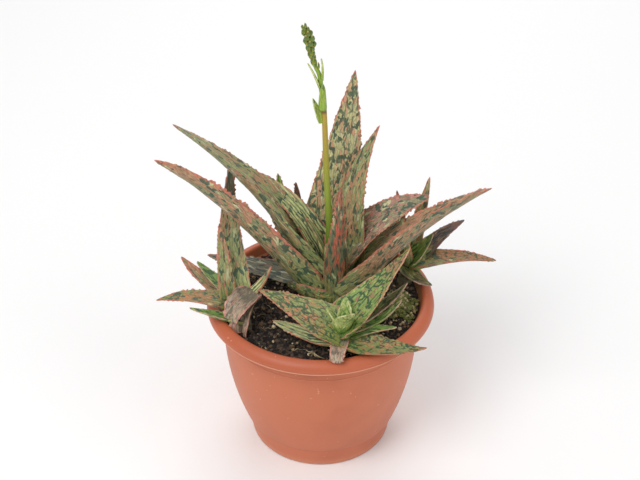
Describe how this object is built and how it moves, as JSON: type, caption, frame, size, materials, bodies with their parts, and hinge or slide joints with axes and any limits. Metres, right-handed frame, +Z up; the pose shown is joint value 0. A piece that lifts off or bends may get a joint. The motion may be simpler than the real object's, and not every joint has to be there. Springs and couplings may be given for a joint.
{
  "type": "potted pink blush aloe",
  "caption": "Mottled succulent aloe with pink toothed leaf edges, small offsets round the main rosette and a budding flower stalk, in a round terracotta-coloured plastic pot.",
  "frame": {"origin": "middle of the pot's flat base, on the surface that the pot stands on", "axes": "+Z up through the pot to the flower stalk, +X to the right and -Y towards the front as seen in the picture"},
  "size_m": [0.1785, 0.1336, 0.2417],
  "materials": {
    "pot": "satin",
    "soil": "matte",
    "stem": "matte",
    "leaf": "satin",
    "leaf_young": "satin",
    "leaf_dark": "satin",
    "leaf_dry": "matte",
    "stalk": "satin"
  },
  "bodies": {
    "root": {"flower_stalk": "stalk", "main_stem": "stem", "left_stem": "stem", "front_stem": "stem", "right_stem": "stem", "back_stem": "stem", "main_leaf_heart_left": "leaf_young", "main_leaf_upper_left_inner": "leaf", "main_leaf_right_upper": "leaf", "main_leaf_right_back": "leaf", "main_leaf_back_tall": "leaf", "main_leaf_upper_left": "leaf", "main_leaf_lower_left": "leaf", "main_leaf_right_lower": "leaf", "main_leaf_front": "leaf", "main_leaf_back_left": "leaf", "main_leaf_back": "leaf", "main_leaf_back_right": "leaf", "main_leaf_low_left": "leaf", "main_leaf_stub": "leaf", "left_leaf_tall": "leaf", "left_leaf_green": "leaf_young", "left_leaf_dark": "leaf", "left_leaf_tall_small": "leaf", "left_leaf_outer": "leaf", "left_leaf_low": "leaf_young", "left_leaf_small": "leaf", "left_leaf_drooping": "leaf_dry", "front_leaf_heart": "leaf_young", "front_leaf_right": "leaf_young", "front_leaf_left": "leaf_young", "front_leaf_low_right": "leaf", "front_leaf_dark": "leaf_dark", "front_leaf_thin": "leaf_young", "front_leaf_short": "leaf_young", "front_leaf_low_left": "leaf", "front_leaf_drooping": "leaf_dry", "right_leaf_outer": "leaf", "right_leaf_heart": "leaf_young", "right_leaf_upright": "leaf", "right_leaf_hooked": "leaf_dark", "right_leaf_inner": "leaf", "right_leaf_back": "leaf", "right_leaf_dry": "leaf_dark", "back_leaf_left": "leaf_young", "back_leaf_middle": "leaf", "back_leaf_outer": "leaf", "pot": "pot", "soil": "soil"}
  },
  "joints": []
}
